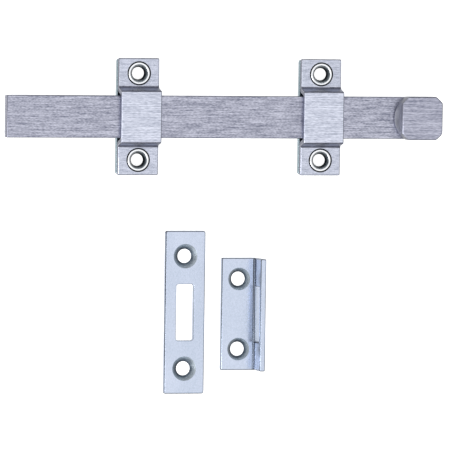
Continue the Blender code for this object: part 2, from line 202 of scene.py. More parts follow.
def block(name, low, high, corner_radius=0.0):
    """Make a box between two corners, with its four upright edges rounded."""
    work = bmesh.new()
    size = [b - a for a, b in zip(low, high)]
    middle = [(a + b) / 2 for a, b in zip(low, high)]
    bmesh.ops.create_cube(work, size=1, matrix=Matrix.Translation(middle) @ Matrix.Diagonal((*size, 1)))
    if corner_radius:
        upright = [e for e in work.edges if abs(e.verts[0].co.z - e.verts[1].co.z) > size[2] / 2]
        bmesh.ops.bevel(work, geom=upright, offset=corner_radius, segments=CORNER_STEPS,
                        profile=0.5, affect="EDGES")
    return mesh_object(name, work)


def swept(name, corners, sweep):
    """Sweep a flat outline of points along a vector into a solid."""
    work = bmesh.new()
    face = work.faces.new([work.verts.new(corner) for corner in corners])
    made = bmesh.ops.extrude_face_region(work, geom=[face])["geom"]
    moved = [v for v in made if isinstance(v, bmesh.types.BMVert)]
    bmesh.ops.translate(work, verts=moved, vec=sweep)
    return mesh_object(name, work)


def upright(name, outline, low, high):
    """Sweep a flat outline in X and Y from one height to another."""
    return swept(name, [(x, y, low) for x, y in outline], Vector((0, 0, high - low)))


def turned(name, profile, centre, steps=TURN_STEPS):
    """Turn an outline of radius and height points about an upright axis."""
    work = bmesh.new()
    row = [work.verts.new((centre[0] + radius, centre[1], height)) for radius, height in profile]
    pairs = list(zip(row, row[1:]))
    if profile[0][0] > 0 and profile[-1][0] > 0:
        pairs.append((row[-1], row[0]))
    edges = [work.edges.new(pair) for pair in pairs]
    bmesh.ops.spin(work, geom=row + edges, cent=(*centre, 0), axis=(0, 0, 1), angle=math.tau,
                   steps=steps, use_merge=True)
    bmesh.ops.remove_doubles(work, verts=work.verts, dist=MERGE_TURNED)
    return mesh_object(name, work)


def arc(centre, radius, start, end, steps):
    """Give the points of an arc between two angles in degrees."""
    points = []
    for step in range(steps + 1):
        angle = math.radians(start + (end - start) * step / steps)
        points.append((centre[0] + radius * math.cos(angle), centre[1] + radius * math.sin(angle)))
    return points


def arc_between(centre, start, end, steps):
    """Give the points of the arc that turns from start to end about a centre."""
    first = start - centre
    last = end - centre
    turn = first.angle(last)
    points = []
    for step in range(steps + 1):
        share = step / steps
        blend = first * math.sin((1 - share) * turn) + last * math.sin(share * turn)
        points.append(centre + blend / math.sin(turn))
    return points


def rounded_path(corners, radii):
    """Round the inner corners of an open path, each with its own radius."""
    points = [Vector(corners[0])]
    for before, corner, after, radius in zip(corners, corners[1:], corners[2:], radii):
        corner = Vector(corner)
        back = (Vector(before) - corner).normalized()
        ahead = (Vector(after) - corner).normalized()
        half_angle = back.angle(ahead) / 2
        centre = corner + (back + ahead).normalized() * radius / math.sin(half_angle)
        inset = radius / math.tan(half_angle)
        points += arc_between(centre, corner + back * inset, corner + ahead * inset, BEND_STEPS)
    points.append(Vector(corners[-1]))
    return points


def bent_strip(name, path, thickness, origin, across, sweep):
    """Sweep an open path in the plane of one axis and Z into a sheet, and give it thickness."""
    work = bmesh.new()
    row = [work.verts.new(origin + across * p.x + Vector((0, 0, p.y)) - sweep / 2) for p in path]
    edges = [work.edges.new(pair) for pair in zip(row, row[1:])]
    made = bmesh.ops.extrude_edge_only(work, edges=edges)["geom"]
    moved = [v for v in made if isinstance(v, bmesh.types.BMVert)]
    bmesh.ops.translate(work, verts=moved, vec=sweep)
    item = mesh_object(name, work)
    solidify = item.modifiers.new("thickness", "SOLIDIFY")
    solidify.thickness = thickness
    solidify.offset = 0
    solidify.use_even_offset = True
    return settle(item)


def settle(item):
    """Make the result of an object's modifiers its own mesh."""
    graph = bpy.context.evaluated_depsgraph_get()
    mesh = bpy.data.meshes.new_from_object(item.evaluated_get(graph))
    item.modifiers.clear()
    item.data = mesh
    return item


def carve(item, *cutters):
    """Take the cutters' shapes out of an object, and remove the cutters."""
    for cutter in cutters:
        difference = item.modifiers.new("cut", "BOOLEAN")
        difference.operation = "DIFFERENCE"
        difference.solver = "EXACT"
        difference.object = cutter
    settle(item)
    for cutter in cutters:
        bpy.data.objects.remove(cutter, do_unlink=True)
    return item


def never(point):
    """Leave no edge crisp."""
    return False


def inside_any(circles, radius):
    """Make a test for a point over one of some circles of one radius."""
    reach = radius * CIRCLE_PLAY
    return lambda point: any(math.dist(point.xy, centre) < reach for centre in circles)


def round_edges(item, width, limit=ROUNDED_TURN, steps=EDGE_STEPS, crisp=never):
    """Round every edge that turns by more than the limit in degrees and isn't to stay crisp."""
    work = bmesh.new()
    work.from_mesh(item.data)
    bmesh.ops.remove_doubles(work, verts=work.verts, dist=MERGE_CARVED)
    chosen = []
    for edge in work.edges:
        middle = (edge.verts[0].co + edge.verts[1].co) / 2
        if math.degrees(edge.calc_face_angle(0)) > limit and not crisp(middle):
            chosen.append(edge)
    bmesh.ops.bevel(work, geom=chosen, offset=width, segments=steps, profile=0.5, affect="EDGES")
    work.to_mesh(item.data)
    work.free()
    return item


def smooth(item):
    """Shade the rounds smooth, the square faces flat and the corners crisp."""
    item.data.shade_smooth()
    item.data.set_sharp_from_angle(angle=math.radians(SMOOTH_TURN))
    for face in item.data.polygons:
        if max(map(abs, face.normal)) > SQUARE:
            face.use_smooth = False
    return item


def show(item, material, body):
    """Give a piece its finish and its body, in place of the solid that has its name."""
    smooth(item)
    node = item.name.removeprefix("fine_")
    item.data.materials.clear()
    item.data.materials.append(material)
    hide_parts(node)
    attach(item, body)
    return item


def dress(item, material, chosen):
    """Give another finish to the faces that pass a test."""
    item.data.materials.append(material)
    for face in item.data.polygons:
        if chosen(face):
            face.material_index = len(item.data.materials) - 1


def tilted(face):
    """Tell whether a face belongs to a rounded edge rather than to a square side."""
    return max(map(abs, face.normal)) < TILTED


def dress_holes(item, material, holes, radius, below):
    """Give the faces inside round holes another finish, below a height."""
    over_hole = inside_any(holes, radius)

    def in_hole(face):
        """Leave out the underside, whose wide faces may have their middle over a hole."""
        return over_hole(face.center) and face.center.z < below and face.normal.z > -UNDERSIDE

    dress(item, material, in_hole)


def middle_of(node):
    """Give the middle of a solid's box."""
    low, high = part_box(node)
    return (low + high) / 2


# Finishes


class Finish:
    """A metal material in the making, with short calls for the nodes it uses."""

    def __init__(self, name):
        self.material = bpy.data.materials.new(name)
        self.material.use_nodes = True
        self.tree = self.material.node_tree
        self.shader = self.tree.nodes["Principled BSDF"]
        self.shader.inputs["Metallic"].default_value = 1.0
        self.place = self.tree.nodes.new("ShaderNodeTexCoord").outputs["Object"]

    def node(self, kind, values, **settings):
        """Add a node with its settings, and set or link its inputs."""
        made = self.tree.nodes.new(kind)
        for key, value in settings.items():
            setattr(made, key, value)
        for key, value in values.items():
            socket = made.inputs[key]
            if isinstance(value, bpy.types.NodeSocket):
                self.tree.links.new(value, socket)
            else:
                socket.default_value = value
        return made

    def weigh(self, *parts):
        """Add up numbers, each with its own weight."""
        total = 0.0
        for value, weight in parts:
            values = {0: value, 1: weight, 2: total}
            total = self.node("ShaderNodeMath", values, operation="MULTIPLY_ADD").outputs[0]
        return total

    def scaled(self, scale, offset=(0, 0, 0)):
        values = {0: self.place, 1: scale, 2: offset}
        return self.node("ShaderNodeVectorMath", values, operation="MULTIPLY_ADD").outputs[0]

    def noise(self, scale, detail=2.0, roughness=0.5, offset=(0, 0, 0)):
        """Give noise with that many features a metre along each axis."""
        values = {"Vector": self.scaled(scale, offset), "Scale": 1.0, "Detail": detail,
                  "Roughness": roughness}
        return self.node("ShaderNodeTexNoise", values).outputs["Fac"]

    def spread(self, value, low, high, to_low=0.0, to_high=1.0):
        """Map a number's range onto another, held at its ends."""
        values = {"Value": value, "From Min": low, "From Max": high, "To Min": to_low,
                  "To Max": to_high}
        return self.node("ShaderNodeMapRange", values).outputs["Result"]

    def mix(self, share, first, second):
        """Blend two colours."""
        values = {0: share, 6: (*first, 1.0), 7: (*second, 1.0)}
        return self.node("ShaderNodeMix", values, data_type="RGBA").outputs[2]

    def set(self, colour, roughness, height, depth):
        """Link the colour, roughness and bump, whose depth is in metres."""
        bump = self.node("ShaderNodeBump", {"Height": height, "Distance": depth, "Strength": 1.0})
        self.tree.links.new(colour, self.shader.inputs["Base Color"])
        self.tree.links.new(roughness, self.shader.inputs["Roughness"])
        self.tree.links.new(bump.outputs["Normal"], self.shader.inputs["Normal"])
        return self.material


def brushed(name, dark, bright, contrast, length):
    """Metal brushed along X: hairlines, clear streaks and slow clouds of tone."""
    finish = Finish(name)
    hair = finish.noise((20 / length, 4500, 4500), detail=1.0)
    fleck = finish.noise((9 / length, 2900, 2900), detail=0.0, offset=(4, 6, 1))
    streak = finish.noise((1 / length, 2300, 2300), detail=0.0, offset=(7, 3, 5))
    cloud = finish.noise((25, 120, 120), detail=1.0, offset=(2, 9, 4))
    tone = finish.weigh((hair, 0.2), (fleck, 0.37), (streak, 0.38), (cloud, 0.05))
    share = finish.spread(tone, 0.5 - contrast, 0.5 + contrast)
    colour = finish.mix(share, dark, bright)
    roughness = finish.spread(streak, 0.3, 0.7, 0.42, 0.28)
    return finish.set(colour, roughness, finish.weigh((hair, 0.3), (streak, 0.7)), 0.012 * MM)


def zinc(name, dark, bright):
    """Bright zinc plating over rolled plate: soft mottling and a fine grain."""
    finish = Finish(name)
    mottle = finish.noise((1700, 1200, 1700), detail=3.0, roughness=0.65)
    grain = finish.noise((5000, 3500, 5000), detail=2.0)
    cloud = finish.noise((60, 40, 60), detail=1.0, offset=(3, 1, 2))
    tone = finish.weigh((cloud, 0.35), (mottle, 0.45), (grain, 0.2))
    share = finish.spread(tone, 0.36, 0.64)
    colour = finish.mix(share, dark, bright)
    roughness = finish.spread(mottle, 0.3, 0.7, 0.26, 0.17)
    return finish.set(colour, roughness, finish.weigh((grain, 0.4), (mottle, 0.6)), 0.004 * MM)


def blasted(name, dark, bright):
    """Metal with a dull even grain, as blasting leaves it."""
    finish = Finish(name)
    grain = finish.noise((3500, 3500, 3500), detail=2.0)
    cloud = finish.noise((300, 300, 300), detail=2.0, offset=(5, 2, 8))
    share = finish.spread(finish.weigh((grain, 0.5), (cloud, 0.5)), 0.35, 0.65)
    colour = finish.mix(share, dark, bright)
    roughness = finish.spread(cloud, 0.3, 0.7, 0.5, 0.6)
    return finish.set(colour, roughness, grain, 0.01 * MM)


def cut_metal(name, dark, bright, top, depth):
    """Cut by a turning tool: rings that follow the height on a cone, and painted shade that darkens it
    further down.
    """
    finish = Finish(name)
    rings = finish.noise((250, 250, 7000), detail=2.0, roughness=0.7)
    patch = finish.noise((900, 900, 900), detail=2.0, offset=(4, 4, 1))
    height = finish.node("ShaderNodeSeparateXYZ", {0: finish.place}).outputs["Z"]
    # Painted shade: darker the deeper the face lies.
    lit = finish.spread(height, top - depth, top, -0.25, 0.25)
    share = finish.spread(finish.weigh((rings, 0.65), (patch, 0.35), (lit, 1.0)), 0.32, 0.68)
    colour = finish.mix(share, dark, bright)
    roughness = finish.spread(patch, 0.3, 0.7, 0.4, 0.25)
    return finish.set(colour, roughness, rings, 0.01 * MM)


def steel(name, dark, bright):
    """Plain oiled steel with faint drawing lines."""
    finish = Finish(name)
    lines = finish.noise((2500, 400, 2500), detail=3.0)
    patch = finish.noise((300, 300, 300), detail=3.0)
    share = finish.spread(finish.weigh((lines, 0.5), (patch, 0.5)), 0.36, 0.64)
    colour = finish.mix(share, dark, bright)
    roughness = finish.spread(patch, 0.3, 0.7, 0.3, 0.5)
    return finish.set(colour, roughness, lines, 0.006 * MM)


# Pieces


def knob_screw_places():
    """Give the axis of each knob screw."""
    return {side: tuple(middle_of("knob_screw_" + side).xy) for side in ("left", "right")}


def bar_screw_hole(low, high):
    """Give the outline of one of the bar's screw holes, sunk from behind."""
    head = SCREW_HEAD_RADIUS + SCREW_RECESS + SCREW_PLAY
    shank = SCREW_SHANK_RADIUS + SCREW_PLAY
    return [
        (0, high.z + OVERCUT),
        (shank, high.z + OVERCUT),
        (shank, low.z + SCREW_HEAD_HEIGHT + SCREW_RECESS),
        (head, low.z),
        (head, low.z - OVERCUT),
        (0, low.z - OVERCUT),
    ]


def build_bar():
    """Flat bar with softened edges, drilled and countersunk from behind for the knob's screws."""
    low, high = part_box("bolt_bar")
    inner = high.x - BAR_END_CORNER
    outline = [(low.x, low.y)]
    outline += arc((inner, low.y + BAR_END_CORNER), BAR_END_CORNER, -90, 0, CORNER_STEPS)
    outline += arc((inner, high.y - BAR_END_CORNER), BAR_END_CORNER, 0, 90, CORNER_STEPS)
    outline.append((low.x, high.y))
    bar = upright("fine_bolt_bar", outline, low.z, high.z)
    hole = bar_screw_hole(low, high)
    places = knob_screw_places().values()
    carve(bar, *[turned("cutter_sink", hole, place) for place in places])
    widest = max(radius for radius, height in hole)
    round_edges(bar, BAR_EDGE, crisp=inside_any(places, widest))
    show(bar, BAR_FINISH, "bolt")
    # Painted shade: the top roundings take the dark edge finish, so they show as dark lines.
    dress(bar, METAL_EDGE_SHADE, lambda face: tilted(face) and face.center.z > high.z - BAR_EDGE)


def build_knob():
    """Low knob: a round blank with flats above and below, and a finger scoop at each side."""
    low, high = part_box("thumb_knob")
    axis = Vector((low.x + KNOB_RADIUS, (low.y + high.y) / 2))
    flat = math.degrees(math.asin((high.y - axis.y) / KNOB_RADIUS))
    edge = math.degrees(math.acos(KNOB_HEAD_WIDTH / 2 / KNOB_RADIUS))
    outline = []
    for turn in (0, 180):
        outline += arc(axis, KNOB_RADIUS, turn - flat, turn - edge, KNOB_STEPS)
        outline += arc(axis, KNOB_RADIUS, turn - edge, turn + edge, KNOB_STEPS)[1:]
        outline += arc(axis, KNOB_RADIUS, turn + edge, turn + flat, KNOB_STEPS)[1:]
    knob = upright("fine_thumb_knob", outline, low.z, high.z)
    carve(knob, scoop_cutter(axis, -1, KNOB_RADIUS, LEFT_SCOOP_RADIUS, low.z, high.z),
          scoop_cutter(axis, 1, high.x - axis.x, RIGHT_SCOOP_RADIUS, low.z, high.z))
    round_edges(knob, KNOB_SOFTENING, crisp=lambda point: low.z + CLOSE < point.z < high.z - CLOSE)
    show(knob, KNOB_FINISH, "bolt")
    dress(knob, SCOOP_FINISH, lambda face: abs(face.normal.z) < STEEP)
    head_foot = high.z - KNOB_EDGE - CLOSE
    rim = high.z - KNOB_SOFTENING

    def on_rim(face):
        """Tell the head's roundings that get painted shade: all but those on the left, where they catch
        the light.
        """
        return tilted(face) and face.center.z > rim and face.normal.x > -LEANING

    # Painted shade: the head's left side and its roundings take the dark edge finish, as dark outlines.
    dress(knob, METAL_EDGE_SHADE, lambda face: face.normal.x < -FLAT and face.center.z > head_foot)
    dress(knob, METAL_EDGE_SHADE, on_rim)


def scoop_cutter(axis, sign, foot_x, radius, base, top):
    """Make the cutter for one finger scoop, from the head's edge to the edge of the knob's foot.

    Where the foot stops short of the round blank, the cutter also trims the blank below it.
    """
    edge_x = KNOB_HEAD_WIDTH / 2
    upper = Vector((edge_x, top - KNOB_EDGE))
    lower = Vector((foot_x, base + KNOB_RIM))
    chord = lower - upper
    outward = Vector((-chord.y, chord.x)).normalized()
    centre = (upper + lower) / 2 + outward * math.sqrt(radius**2 - (chord.length / 2) ** 2)
    half = KNOB_RADIUS + SCOOP_OVERCUT
    path = [Vector((edge_x, top + SCOOP_OVERCUT))]
    path += arc_between(centre, upper, lower, SCOOP_STEPS)
    if foot_x < KNOB_RADIUS:
        path.append(Vector((foot_x, base - SCOOP_OVERCUT)))
    path.append(Vector((half, path[-1].y)))
    path.append(Vector((half, top + SCOOP_OVERCUT)))
    corners = [(axis.x + sign * p.x, axis.y - half, p.y) for p in path]
    return swept("cutter_scoop", corners, Vector((0, 2 * half, 0)))


def cross_recess(place, base):
    """Make the two cutters for a cross recess in a head that faces down."""
    cutters = []
    for half_x, half_y in ((CROSS_REACH, CROSS_HALF_WIDTH), (CROSS_HALF_WIDTH, CROSS_REACH)):
        low = (place[0] - half_x, place[1] - half_y, base - OVERCUT)
        high = (place[0] + half_x, place[1] + half_y, base + CROSS_DEPTH)
        cutters.append(block("cutter_cross", low, high))
    return cutters


def build_knob_screws():
    """Two flat-head screws with a cross recess, seen from behind the bar."""
    for side, place in knob_screw_places().items():
        node = "knob_screw_" + side
        low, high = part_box(node)
        profile = [
            (0, high.z),
            (SCREW_SHANK_RADIUS - SCREW_LEAD, high.z),
            (SCREW_SHANK_RADIUS, high.z - SCREW_LEAD),
            (SCREW_SHANK_RADIUS, low.z + SCREW_HEAD_HEIGHT),
            (SCREW_HEAD_RADIUS, low.z),
            (0, low.z),
        ]
        screw = turned("fine_" + node, profile, place)
        carve(screw, *cross_recess(place, low.z))
        round_edges(screw, SCREW_EDGE, ROUNDED_SCREW_TURN, SMALL_EDGE_STEPS)
        show(screw, SCREW_FINISH, "bolt")


def eyelet_places(side):
    """Give the axes of a guide's two eyelets."""
    return [tuple(middle_of(f"{side}_{level}_eyelet").xy) for level in ("upper", "lower")]


def strap_outline(low, high):
    """Give the strap's bent section as points of distance across and height, all the way round."""
    crown_underside = high.z - STRAP_THICKNESS
    flange_top = low.z + STRAP_THICKNESS
    end = (high.y - low.y) / 2
    slope = STRAP_LEAN / (crown_underside - low.z)
    wall = STRAP_THICKNESS * math.hypot(1, slope)

    def wall_side(height, outward):
        """Give how far out the inner or outer side of a wall is at a height."""
        return INNER_HALF_WIDTH + slope * (crown_underside - height) + outward

    outer_shoulder = wall_side(high.z, wall)
    outer_root = wall_side(flange_top, wall)
    outer = rounded_path(
        [(-end, flange_top), (-outer_root, flange_top), (-outer_shoulder, high.z),
         (outer_shoulder, high.z), (outer_root, flange_top), (end, flange_top)],
        [FOOT_RADIUS, SHOULDER_RADIUS, SHOULDER_RADIUS, FOOT_RADIUS])
    inner_root = wall_side(low.z, 0)
    inner = rounded_path(
        [(end, low.z), (inner_root, low.z), (INNER_HALF_WIDTH, crown_underside),
         (-INNER_HALF_WIDTH, crown_underside), (-inner_root, low.z), (-end, low.z)],
        [INNER_FOOT_RADIUS, INNER_SHOULDER_RADIUS, INNER_SHOULDER_RADIUS, INNER_FOOT_RADIUS])
    return outer + inner


def strap_hole(low, eyelet_top):
    """Give the outline of the hole in a flange, with a seat for the eyelet's rim."""
    shelf = eyelet_top - RIM_DEPTH - SEAT_GAP
    bore = BARREL_RADIUS + SEAT_GAP
    return [
        (0, eyelet_top + OVERCUT),
        (RIM_SEAT_RADIUS, eyelet_top + OVERCUT),
        (RIM_SEAT_RADIUS, shelf),
        (bore, shelf),
        (bore, low.z - OVERCUT),
        (0, low.z - OVERCUT),
    ]


def build_strap(side):
    """Strap guide bent from flat strip: two feet and a crown that bridges the bar."""
    node = side + "_guide_strap"
    low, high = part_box(node)
    middle_y = (low.y + high.y) / 2
    section = [(low.x, middle_y + p.x, p.y) for p in strap_outline(low, high)]
    strap = swept("fine_" + node, section, Vector((high.x - low.x, 0, 0)))
    seats = eyelet_places(side)
    hole = strap_hole(low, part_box(side + "_upper_eyelet")[1].z)
    carve(strap, *[turned("cutter_seat", hole, seat) for seat in seats])
    round_edges(strap, STRAP_EDGE, crisp=inside_any(seats, RIM_SEAT_RADIUS))
    show(strap, STRAP_FINISH, "guides")
    dress_strap(strap, low, high, seats)


def dress_strap(strap, low, high, seats):
    """Paint shade on the strap: darker finishes on its feet, walls, bends, seats and cut edges."""
    middle_y = (low.y + high.y) / 2
    flange_top = low.z + STRAP_THICKNESS
    rounded_end = (high.y - low.y) / 2 - STRAP_EDGE
    wall_start = INNER_HALF_WIDTH + STRAP_THICKNESS / 2

    def on_rounding(face):
        """Tell the roundings on the right side and at the ends, which get painted shade."""
        at_end = abs(face.center.y - middle_y) > rounded_end
        return tilted(face) and face.normal.z > 0 and (face.normal.x > LEANING or at_end)

    def on_foot(face):
        return face.normal.z > FLAT and face.center.z < flange_top + CLOSE

    def on_wall(face):
        """Tell the outer side of a leaning wall, with the bends above and below it."""
        return (abs(face.normal.y) > ON_WALL_OR_BEND and face.center.z > flange_top
                and abs(face.center.y - middle_y) > wall_start)

    # Painted shade: the dark edge finish on these roundings and on the bends above and below the walls,
    # a darker copy of the strap on the feet, and a darker one again on the walls.
    dress(strap, METAL_EDGE_SHADE, on_rounding)
    dress(strap, FOOT_SHADE_FINISH, on_foot)
    dress(strap, WALL_SHADE_FINISH, on_wall)
    dress(strap, METAL_EDGE_SHADE, lambda face: on_wall(face) and abs(face.normal.y) < ON_WALL)
    # Painted shadow: the seat round each eyelet's rim is near black, where the gap lies in shade.
    dress_holes(strap, SEAT_SHADOW_FINISH, seats, RIM_SEAT_RADIUS, flange_top - HAIR)
    # Painted shade: the cut ends of the strip above the flanges take the dark edge finish.
    dress(strap, METAL_EDGE_SHADE, lambda face: abs(face.normal.x) > FLAT and face.center.z > flange_top)


def back_plate_hole(high):
    """Give the outline of the hole in a back plate, with a seat for the eyelet's tail."""
    bore = BARREL_RADIUS + SEAT_GAP
    shelf = TAIL_DEPTH + 2 * SEAT_GAP
    return [
        (0, high.z + OVERCUT),
        (bore, high.z + OVERCUT),
        (bore, shelf),
        (TAIL_SEAT_RADIUS, shelf),
        (TAIL_SEAT_RADIUS, -OVERCUT),
        (0, -OVERCUT),
    ]


def build_back_plate(side):
    """Flat plate behind the strap, with a pocket for the leaf spring."""
    node = side + "_back_plate"
    low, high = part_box(node)
    middle = (low + high) / 2
    plate = block("fine_" + node, low, high, PLATE_CORNER)
    half_x = POCKET_SIZE[0] / 2
    half_y = POCKET_SIZE[1] / 2
    pocket_low = (middle.x - half_x, middle.y - half_y, high.z - POCKET_DEPTH)
    pocket_high = (middle.x + half_x, middle.y + half_y, high.z + OVERCUT)
    cutters = [block("cutter_pocket", pocket_low, pocket_high, POCKET_CORNER)]
    seats = eyelet_places(side)
    cutters += [turned("cutter_seat", back_plate_hole(high), seat) for seat in seats]
    carve(plate, *cutters)
    round_edges(plate, BACK_PLATE_EDGE, crisp=inside_any(seats, TAIL_SEAT_RADIUS))
    show(plate, BACK_FINISH, "guides")


def eyelet_outline(low, high):
    """Give an eyelet's section: rolled rim, barrel, flared tail, and the cone of its mouth."""
    rim = (high.x - low.x) / 2
    tail = rim - TAIL_INSET
    roll_z = high.z - RIM_ROLL
    half_tail = TAIL_DEPTH / 2
    neck_z = high.z - CONE_DEPTH - BARREL_CORNER
    outline = arc((MOUTH_RADIUS + RIM_ROLL, roll_z), RIM_ROLL, 180, 90, 6)
    outline += arc((rim - RIM_ROLL, roll_z), RIM_ROLL, 90, -60, 9)
    outline += [
        (BARREL_RADIUS + BARREL_CORNER, high.z - RIM_DEPTH),
        (BARREL_RADIUS, high.z - RIM_DEPTH - BARREL_CORNER),
        (BARREL_RADIUS, low.z + TAIL_DEPTH + BARREL_CORNER),
        (BARREL_RADIUS + BARREL_CORNER, low.z + TAIL_DEPTH),
    ]
    outline += arc((tail - half_tail, low.z + half_tail), half_tail, 90, -90, 8)
    outline += arc((FLARE_RADIUS + NECK_ROLL, low.z + NECK_ROLL), NECK_ROLL, 270, 170, 5)
    outline += arc((NECK_RADIUS + NECK_ROLL, neck_z), NECK_ROLL, 200, 140, 5)
    return outline


def build_eyelets(side):
    """Tubular eyelets with a rolled rim in front and a flared tail behind."""
    for level in ("upper", "lower"):
        node = f"{side}_{level}_eyelet"
        low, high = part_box(node)
        centre = tuple(middle_of(node).xy)
        eyelet = turned("fine_" + node, eyelet_outline(low, high), centre, EYELET_STEPS)
        # Painted highlight: the near-white eyelet finish.
        show(eyelet, EYELET_HIGHLIGHT_FINISH, "guides")
        # Painted shade inside the mouth, below the rolled rim.
        dress_holes(eyelet, BORE_SHADE_FINISH, [centre], MOUTH_RADIUS, high.z - RIM_ROLL)


def build_leaf_spring(side):
    """Bowed leaf that presses on the back of the bar and holds it where it is put."""
    node = side + "_leaf_spring"
    low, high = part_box(node)
    middle = (low + high) / 2
    foot = low.z + LEAF_THICKNESS / 2
    rise = high.z - LEAF_THICKNESS / 2 - foot
    half = (high.x - low.x) / 2 - LEAF_PLAY
    path = []
    for step in range(LEAF_STEPS + 1):
        share = 2 * step / LEAF_STEPS - 1
        path.append(Vector((share * half, foot + rise * math.cos(share * math.pi / 2) ** 2)))
    leaf = bent_strip("fine_" + node, path, LEAF_THICKNESS, Vector((middle.x, middle.y, 0)),
                      Vector((1, 0, 0)), Vector((0, high.y - low.y, 0)))
    round_edges(leaf, LEAF_EDGE, steps=SMALL_EDGE_STEPS)
    show(leaf, SPRING_FINISH, "guides")


def countersink(centre, sink_radius, thickness):
    """Make a cutter for a countersunk screw hole through a flat plate."""
    profile = [
        (0, thickness + OVERCUT),
        (sink_radius, thickness + OVERCUT),
        (sink_radius, thickness),
        (STRIKE_HOLE_RADIUS, SINK_LAND),
        (STRIKE_HOLE_RADIUS, -OVERCUT),
        (0, -OVERCUT),
    ]
    return turned("cutter_sink", profile, centre)


def inside_block(low, high):
    """Make a test for a point in or just outside a block."""
    return lambda point: all(a - CLOSE < part < b + CLOSE for a, part, b in zip(low, point, high))


def round_strike(strike, at_sink, at_slot):
    """Round a strike's outline, then its slot more finely, and leave its sinks crisp."""
    round_edges(strike, PLATE_EDGE, crisp=lambda point: at_sink(point) or at_slot(point))
    round_edges(strike, SLOT_EDGE, crisp=at_sink)


def build_mortise_strike():
    """Flat strike for letting into a threshold or a head, with a slot for the bar."""
    low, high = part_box("mortise_strike")
    middle = (low + high) / 2
    strike = block("fine_mortise_strike", low, high, PLATE_CORNER)
    slot_low = (middle.x - SLOT_WIDTH / 2, middle.y - SLOT_LENGTH / 2, low.z - OVERCUT)
    slot_high = (middle.x + SLOT_WIDTH / 2, middle.y + SLOT_LENGTH / 2, high.z + OVERCUT)
    slot = block("cutter_slot", slot_low, slot_high, PLATE_CORNER)
    holes = [(middle.x, middle.y + sign * MORTISE_SCREW_SPACING / 2) for sign in (1, -1)]
    carve(strike, slot, *[countersink(hole, MORTISE_SINK_RADIUS, high.z) for hole in holes])
    at_slot = inside_block(slot_low, slot_high)
    round_strike(strike, inside_any(holes, MORTISE_SINK_RADIUS), at_slot)
    show(strike, ZINC_FINISH, "loose_mortise_strike")

    def on_left_edge(face):
        return tilted(face) and face.center.x < low.x + PLATE_EDGE and face.normal.z > 0

    # Painted shade: the roundings take the dark zinc, and those on the left edge a darker one still.
    dress(strike, ZINC_OUTLINE_SHADE, lambda face: tilted(face) and not at_slot(face.center))
    dress(strike, ZINC_CREASE_SHADE, on_left_edge)
    # Painted shade in the countersinks, darker toward the hole.
    dress_holes(strike, SINK_SHADE_FINISH, holes, MORTISE_SINK_RADIUS, high.z - HAIR)


def build_angle_strike():
    """Angle strike: a flat leg with two screw holes, and an upright leg with the bar's slot."""
    low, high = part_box("angle_strike")
    centre_y = (low.y + high.y) / 2
    middle = ANGLE_THICKNESS / 2
    corners = [(low.x, middle), (high.x - middle, middle), (high.x - middle, high.z)]
    path = rounded_path(corners, [ANGLE_BEND_RADIUS + middle])
    strike = bent_strip("fine_angle_strike", path, ANGLE_THICKNESS, Vector((0, centre_y, 0)),
                        Vector((1, 0, 0)), Vector((0, high.y - low.y, 0)))
    slot_low = (high.x - ANGLE_THICKNESS - OVERCUT, centre_y - SLOT_LENGTH / 2, ANGLE_SLOT_BOTTOM)
    slot_high = (high.x + OVERCUT, centre_y + SLOT_LENGTH / 2, ANGLE_SLOT_BOTTOM + SLOT_WIDTH)
    slot = block("cutter_slot", slot_low, slot_high)
    holes = [(low.x + ANGLE_SCREW_INSET, centre_y + sign * ANGLE_SCREW_SPACING / 2)
             for sign in (1, -1)]
    carve(strike, slot, *[countersink(hole, ANGLE_SINK_RADIUS, ANGLE_THICKNESS) for hole in holes])
    at_slot = inside_block(slot_low, slot_high)
    round_strike(strike, inside_any(holes, ANGLE_SINK_RADIUS), at_slot)
    show(strike, ZINC_FINISH, "loose_angle_strike")
    dress_angle_strike(strike, low, high, at_slot)
    # Painted shade in the countersinks, darker toward the hole.
    dress_holes(strike, SINK_SHADE_FINISH, holes, ANGLE_SINK_RADIUS, ANGLE_THICKNESS - HAIR)


def dress_angle_strike(strike, low, high, at_slot):
    """Paint shade on the angle strike: darken its outline, both sides of its inner bend, and its slot's
    ends.
    """
    reach = ANGLE_THICKNESS + ANGLE_BEND_RADIUS
    in_bend = inside_block((high.x - reach, low.y + PLATE_EDGE, low.z),
                           (high.x, high.y - PLATE_EDGE, low.z + reach))

    def on_outline(face):
        return tilted(face) and not at_slot(face.center) and not in_bend(face.center)

    def beside_bend(face):
        """Tell where the inner bend starts on the flat leg, and where it ends on the upright."""
        upward = face.normal.z
        at_start = BEND_START[0] < upward < BEND_START[1]
        at_end = BEND_END[0] < upward < BEND_END[1]
        return in_bend(face.center) and face.normal.x < -INWARD and (at_start or at_end)

    # Painted shade: dark zinc on the roundings, and near-black zinc beside the bend and at the slot's
    # ends.
    dress(strike, ZINC_OUTLINE_SHADE, on_outline)
    dress(strike, ZINC_CREASE_SHADE, beside_bend)
    dress(strike, ZINC_CREASE_SHADE, lambda face: at_slot(face.center) and abs(face.normal.y) > LEANING)


# Studio


def build_floor():
    """Plain white table that glows a little, as a light table does."""
    work = bmesh.new()
    bmesh.ops.create_grid(work, x_segments=1, y_segments=1, size=FLOOR_SIZE / 2)
    bmesh.ops.translate(work, verts=work.verts, vec=(0, 0, -FLOOR_GAP))
    floor = mesh_object("floor", work)
    material = bpy.data.materials.new("white_table")
    material.use_nodes = True
    shader = material.node_tree.nodes["Principled BSDF"]
    shader.inputs["Base Color"].default_value = (FLOOR_TONE, FLOOR_TONE, FLOOR_TONE, 1.0)
    shader.inputs["Roughness"].default_value = 0.9
    shader.inputs["Emission Color"].default_value = (1.0, 1.0, 1.0, 1.0)
    shader.inputs["Emission Strength"].default_value = FLOOR_GLOW
    floor.data.materials.append(material)
    floor.visible_glossy = False


